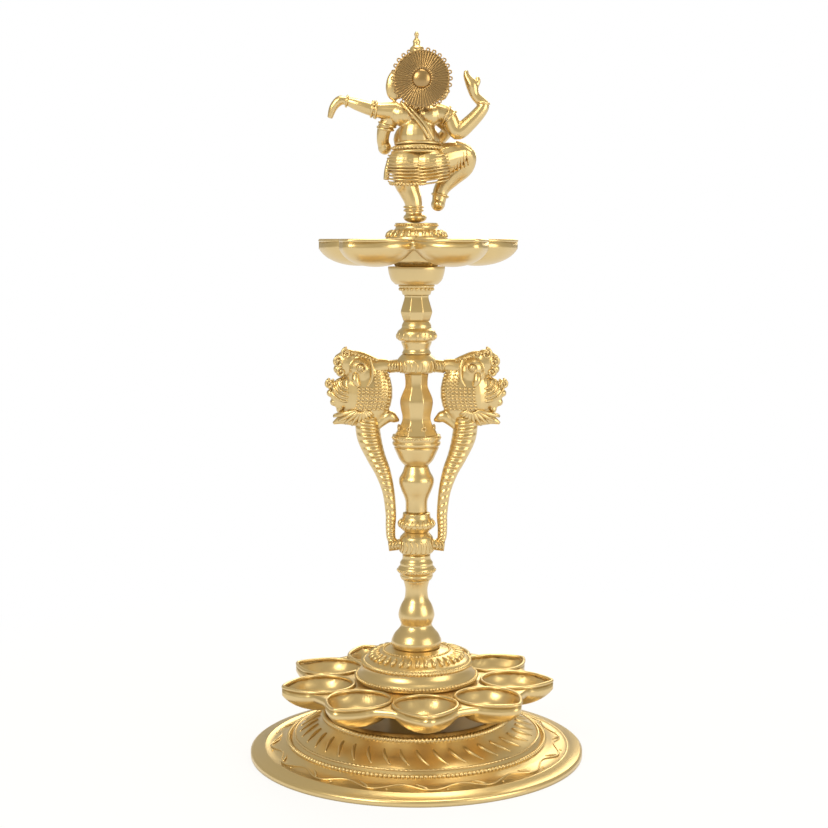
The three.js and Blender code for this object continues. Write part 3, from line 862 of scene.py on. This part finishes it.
def make_figure():
    """Dancing figure with an elephant's head, seen from behind in the photograph."""
    flesh = [
        ball((-1, 3, 368.6), (8, 10.5, 3.6)),
        limb([(-2, 1, 369, 5.2), (-2.2, 0, 379, 6), (-5, 1, 387, 7.2), (-7, 1, 393, 8.6),
              (-6, 0, 403, 12)], 6),
        ball((-6, -1.5, 404.5), (13.4, 12, 12)),
        ball((9, -1.5, 404.5), (13, 12, 11.4)),
        limb([(10, 1, 404, 11), (22, 4, 409, 10), (32, 7, 410.5, 8), (32, 9, 403, 7), (24, 10, 396, 6.6),
              (17, 9, 388, 5.4), (15, 8, 379, 4.6)], 6),
        ball((14.6, 9.5, 377.6), (4.8, 7.6, 4.6)),
        ball((0, 8, 421), (15.6, 14, 12.6)),
        ball((0.8, 0, 423), (12.6, 10, 14)),
        ball((-9, 0, 437), (10, 8.6, 8)),
        ball((8, 0, 436.6), (9.4, 8.4, 8)),
        limb([(-13, 0, 439, 6.8), (-24, -0.5, 439.6, 5.4), (-30, -1, 440.6, 4.8), (-39, -1, 443.4, 4.2),
              (-47, 0, 446, 3), (-51.5, 0, 446, 3.3), (-55.6, 0, 441.6, 2.8), (-58, 0, 434.6, 1.8)], 6),
        limb([(-15, 2, 436, 6), (-21, 3, 429, 5), (-22.6, 5, 421, 4.2), (-21.6, 9, 416, 4.4)], 6),
        ball((-21.4, 8, 415.4), (4.6, 5.4, 4.6)),
        limb([(12, 0, 439, 6.4), (21, 0, 436, 5.6), (27, 0, 425.6, 5.4), (36, 0, 432, 5), (44, 0, 441, 4.2),
              (44.4, 0, 446, 3.4)], 6),
        limb([(44.4, 0, 444, 3.6), (39, 0, 449.6, 3.2), (37, 0, 456, 4), (33.6, 0, 462, 2.4),
              (33, 0, 466, 1.4)], 6),
        limb([(38, 0, 454, 2.6), (41, 0, 458.6, 1.8), (40.6, 0, 461.8, 1.2)], 5),
        limb([(14, 3, 436, 5.4), (21, 9, 429, 4.6), (18, 17, 423, 3.8)], 5),
        ball((17, 18.6, 422.6), (4, 4, 4.4)),
        ball((1, 3, 455.4), (13, 12, 13)),
        ball((-14.4, 1, 456.4), (6.2, 2.6, 10.4), 6),
        ball((15.8, 1, 456.4), (6.2, 2.6, 10.4), -6),
        limb([(1, 12, 455, 6), (2, 17, 448, 5), (1, 19.5, 438, 4.2), (-4, 20, 430, 3.4),
              (-9, 19.6, 428.4, 2.6)], 6),
        limb([(-4.6, 13, 449, 1.6), (-6.4, 17.6, 446, 1.3), (-6.6, 20.4, 446.6, 0.7)], 4, 8),
        limb([(7, 13, 449, 1.6), (8.8, 16, 447, 1.3)], 4, 8),
        limb([(3.3, -5, 459.3, 3.6), (3.3, -12.8, 459.3, 3.6)], 4),
        turned(CROWN, 40),
    ]
    add_piece("figure_body", merged(flesh), replaces=["dancing_figure"], fused=0.5, soften=4)
    add_piece("figure_dress", merged(dhoti_folds() + belts() + cords_and_sash() + bangles()))


def make_halo():
    """Dark halo disc of looped rays round a domed boss."""
    x, y, z = HALO_MIDDLE
    rays = []
    count = bpy.context.scene.lamp_sizes.halo_rays
    for k in range(count):
        a = TURN * k / count
        for shift in (-0.052, 0.052):
            ray = []
            for r, spread in ((5.6, 1.6), (10, 1.25), (15, 1.1), (18.8, 1)):
                turn = a + shift * spread
                ray.append((x + r * math.cos(turn), y - 0.9, z + r * math.sin(turn), 0.42))
            rays.append(limb(ray, 2, 6))
        tip = []
        for t in np.arange(10) / 10 * TURN:
            across = x + 19 * math.cos(a) + 1.1 * math.cos(t)
            height = z + 19 * math.sin(a) + 1.1 * math.sin(t)
            tip.append((across, y - 0.9, height, 0.5))
        rays.append(limb(tip, 1, 6, closed=True))
    disc = [ball((x, y, z), (18.6, 0.9, 18.6), sides=60, rings=24)]
    add_piece("halo_rays", merged(disc + rays), "dark_brass", replaces=["halo_disc"])
    boss = [ball((x, -15.1, z), (6, 2.4, 6), sides=32, rings=16)]
    add_piece("halo_boss_domed", merged(boss), "dark_brass", replaces=["halo_boss"])


def dress_hidden_nodes():
    """Plain brass for the rod, washer, nut and spacer that stay as they were made."""
    hidden = {
        "tie_rod": "rod_brass",
        "base_washer": "pale_brass",
        "base_nut": "pale_brass",
        "tray_spacer": "pale_brass",
    }
    for node, slot in hidden.items():
        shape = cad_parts[node]
        if not shape.material_slots:
            shape.data.materials.append(finish_named(slot))
        for place in shape.material_slots:
            place.material = finish_named(slot)


def seen_directly(tree):
    """A socket that is 1 for camera, mirror and glass rays and 0 for all others."""
    nodes, links = tree.nodes, tree.links
    path = nodes.new("ShaderNodeLightPath")
    mirrored = nodes.new("ShaderNodeMath")
    mirrored.operation = "MAXIMUM"
    links.new(path.outputs["Is Glossy Ray"], mirrored.inputs[0])
    links.new(path.outputs["Is Transmission Ray"], mirrored.inputs[1])
    seen = nodes.new("ShaderNodeMath")
    seen.operation = "MAXIMUM"
    links.new(path.outputs["Is Camera Ray"], seen.inputs[0])
    links.new(mirrored.outputs[0], seen.inputs[1])
    return seen.outputs[0]


def make_floor(context, colour):
    """Pale floor that takes the lamp's shade near it and is plain white to the camera further out."""
    bpy.ops.mesh.primitive_plane_add(size=FLOOR_SIZE, location=FLOOR_PLACE)
    floor = context.object
    floor.name = "studio_floor"
    paint = bpy.data.materials.new("floor_paint")
    paint.use_nodes = True
    nodes, links = paint.node_tree.nodes, paint.node_tree.links
    shader = nodes["Principled BSDF"]
    shader.inputs["Base Color"].default_value = (*colour, 1)
    shader.inputs["Roughness"].default_value = 0.9
    glow = nodes.new("ShaderNodeEmission")
    glow.inputs["Color"].default_value = (1, 1, 1, 1)
    blend = nodes.new("ShaderNodeMixShader")
    seen = seen_directly(paint.node_tree)
    place = nodes.new("ShaderNodeTexCoord")
    away = nodes.new("ShaderNodeVectorMath")
    away.operation = "DISTANCE"
    away.inputs[1].default_value = LAMP_ON_FLOOR
    fade = nodes.new("ShaderNodeMapRange")
    fade.inputs["From Min"].default_value = FADE_START
    fade.inputs["From Max"].default_value = FADE_END
    fade.inputs["To Min"].default_value = WHITE_SHARE_NEAR
    fade.inputs["To Max"].default_value = 1.0
    links.new(place.outputs["Object"], away.inputs[0])
    links.new(away.outputs["Value"], fade.inputs["Value"])
    share = nodes.new("ShaderNodeMath")
    share.operation = "MULTIPLY"
    links.new(fade.outputs["Result"], share.inputs[1])
    links.new(seen, share.inputs[0])
    links.new(share.outputs[0], blend.inputs[0])
    links.new(shader.outputs[0], blend.inputs[1])
    links.new(glow.outputs[0], blend.inputs[2])
    links.new(blend.outputs[0], nodes["Material Output"].inputs["Surface"])
    floor.data.materials.append(paint)


def make_surroundings(scene):
    """Surroundings that light the lamp warmly and are white to the camera."""
    scene.world = bpy.data.worlds.new("studio")
    scene.world.use_nodes = True
    nodes, links = scene.world.node_tree.nodes, scene.world.node_tree.links
    warm = nodes["Background"]
    warm.inputs["Color"].default_value = SURROUND_COLOUR
    warm.inputs["Strength"].default_value = SURROUND_STRENGTH
    white = nodes.new("ShaderNodeBackground")
    white.inputs["Color"].default_value = (1, 1, 1, 1)
    white.inputs["Strength"].default_value = 1.0
    path = nodes.new("ShaderNodeLightPath")
    blend = nodes.new("ShaderNodeMixShader")
    links.new(path.outputs["Is Camera Ray"], blend.inputs[0])
    links.new(warm.outputs[0], blend.inputs[1])
    links.new(white.outputs[0], blend.inputs[2])
    links.new(blend.outputs[0], nodes["World Output"].inputs["Surface"])


def make_lamps(scene, level):
    """Soft studio lamps, all turned to the middle of the object."""
    for name, place, size, power in LAMPS:
        lamp = bpy.data.objects.new(name, bpy.data.lights.new(name, "AREA"))
        lamp.data.size = size
        lamp.data.color = LAMP_COLOUR
        lamp.data.energy = power * level
        lamp.location = place
        aim = np.array(LAMP_AIM) - np.array(place)
        lamp.rotation_euler = Vector(aim).to_track_quat("-Z", "Y").to_euler()
        scene.collection.objects.link(lamp)


def make_camera(scene):
    """The photograph's camera."""
    camera = bpy.data.objects.new("photo_camera", bpy.data.cameras.new("photo_camera"))
    camera.data.lens = CAMERA_LENS
    camera.data.sensor_width = SENSOR
    camera.location = (CAMERA_SIDE, -CAMERA_DISTANCE, CAMERA_HEIGHT)
    camera.rotation_euler = (math.radians(90 - CAMERA_PITCH), 0, 0)
    scene.collection.objects.link(camera)
    scene.camera = camera


def make_stage(context):
    """Pale floor, white surroundings, soft lamps and the photograph's camera."""
    finish = material_values(context)
    make_floor(context, finish.floor_colour)
    make_surroundings(context.scene)
    make_lamps(context.scene, finish.lamp_level)
    make_camera(context.scene)
    context.scene.view_settings.view_transform = "Standard"


class LampSizes(bpy.types.PropertyGroup):
    """Sizes that the panel can change"""

    cup_bead: bpy.props.FloatProperty(
        name="Cup rim", description="Thickness of the rim round each wick cup, in millimetres",
        min=0.25, max=4, default=1.25)
    halo_rays: bpy.props.IntProperty(
        name="Halo rays", description="Number of looped rays in the halo", min=8, max=60, default=28)


class LampFinish(bpy.types.PropertyGroup):
    """Finishes and light that the panel can change"""

    pale_colour: bpy.props.FloatVectorProperty(
        name="Pale brass", description="Colour of the cast brass",
        subtype="COLOR", size=3, min=0, max=1, default=(0.8, 0.46, 0.01))
    # Painted shade: the colour that the pale brass is darkened to in its hollows
    pale_painted_shade: bpy.props.FloatVectorProperty(
        name="Recess", description="Colour in the brass's hollows",
        subtype="COLOR", size=3, min=0, max=1, default=(0.3, 0.13, 0.012))
    dark_colour: bpy.props.FloatVectorProperty(
        name="Dark brass", description="Colour of the halo's browned brass",
        subtype="COLOR", size=3, min=0, max=1, default=(0.36, 0.19, 0.06))
    roughness: bpy.props.FloatProperty(
        name="Roughness", description="How matte the lacquered brass is",
        subtype="FACTOR", min=0, max=1, default=0.46)
    floor_colour: bpy.props.FloatVectorProperty(
        name="Floor", description="Colour of the floor",
        subtype="COLOR", size=3, min=0, max=1, default=(0.86, 0.86, 0.86))
    lamp_level: bpy.props.FloatProperty(
        name="Lamp level", description="Strength of all the lamps together",
        min=0, max=10, default=1.5)


class LAMP_OT_finish(bpy.types.Operator):
    """Make the brass finishes"""

    bl_idname = "lamp.finish"
    bl_label = "Brass finishes"

    def execute(self, context):
        finish = material_values(context)
        brass_material("pale_brass", finish.pale_colour, finish.pale_painted_shade, finish.roughness, 0.35)
        brass_material("dark_brass", finish.dark_colour, DARK_PAINTED_SHADE, finish.roughness + 0.05, 0.4)
        brass_material("rod_brass", ROD_COLOUR, ROD_PAINTED_SHADE, 0.3, 0.15)
        return {"FINISHED"}


class LAMP_OT_base(bpy.types.Operator):
    """Make the base plate"""

    bl_idname = "lamp.base"
    bl_label = "Base plate"

    def execute(self, context):
        make_base()
        return {"FINISHED"}


class LAMP_OT_trays(bpy.types.Operator):
    """Make the two wick trays"""

    bl_idname = "lamp.trays"
    bl_label = "Wick trays"

    def execute(self, context):
        make_trays()
        return {"FINISHED"}


class LAMP_OT_dome(bpy.types.Operator):
    """Make the dome on the lower tray"""

    bl_idname = "lamp.dome"
    bl_label = "Tray dome"

    def execute(self, context):
        make_dome()
        return {"FINISHED"}


class LAMP_OT_stem(bpy.types.Operator):
    """Make the stem's turned and faceted pieces and its collars"""

    bl_idname = "lamp.stem"
    bl_label = "Stem"

    def execute(self, context):
        make_stem()
        make_collars()
        dress_hidden_nodes()
        return {"FINISHED"}


class LAMP_OT_parrots(bpy.types.Operator):
    """Make the two parrot brackets"""

    bl_idname = "lamp.parrots"
    bl_label = "Parrot brackets"

    def execute(self, context):
        make_parrots()
        return {"FINISHED"}


class LAMP_OT_figure(bpy.types.Operator):
    """Make the pedestal, the dancing figure and its halo"""

    bl_idname = "lamp.figure"
    bl_label = "Figure"

    def execute(self, context):
        make_pedestal()
        make_figure()
        make_halo()
        return {"FINISHED"}


class LAMP_OT_stage(bpy.types.Operator):
    """Make the floor, lamps and camera"""

    bl_idname = "lamp.stage"
    bl_label = "Stage"

    def execute(self, context):
        make_stage(context)
        return {"FINISHED"}


OPERATORS = (
    LAMP_OT_finish,
    LAMP_OT_base,
    LAMP_OT_trays,
    LAMP_OT_dome,
    LAMP_OT_stem,
    LAMP_OT_parrots,
    LAMP_OT_figure,
    LAMP_OT_stage,
)
CLASSES = (LampSizes, LampFinish, *OPERATORS)


class LAMP_PT_panel(bpy.types.Panel):
    """Lists the lamp's sizes, its finishes and the steps that build it"""

    bl_label = "Brass Oil Lamp"
    bl_idname = "LAMP_PT_panel"
    bl_space_type = "VIEW_3D"
    bl_region_type = "UI"
    bl_category = "Lamp"

    def draw(self, context):
        for name in LampSizes.__annotations__:
            self.layout.prop(context.scene.lamp_sizes, name)
        for name in LampFinish.__annotations__:
            self.layout.prop(context.scene.lamp_finish, name)
        for operator in OPERATORS:
            self.layout.operator(operator.bl_idname)


def register():
    for kind in (*CLASSES, LAMP_PT_panel):
        bpy.utils.register_class(kind)
    bpy.types.Scene.lamp_sizes = bpy.props.PointerProperty(type=LampSizes)
    bpy.types.Scene.lamp_finish = bpy.props.PointerProperty(type=LampFinish)


def unregister():
    del bpy.types.Scene.lamp_finish
    del bpy.types.Scene.lamp_sizes
    for kind in reversed((*CLASSES, LAMP_PT_panel)):
        bpy.utils.unregister_class(kind)


def main():
    register()
    bpy.ops.lamp.finish()
    bpy.ops.lamp.base()
    bpy.ops.lamp.trays()
    bpy.ops.lamp.dome()
    bpy.ops.lamp.stem()
    bpy.ops.lamp.parrots()
    bpy.ops.lamp.figure()
    bpy.ops.lamp.stage()


if __name__ == "__main__":
    main()
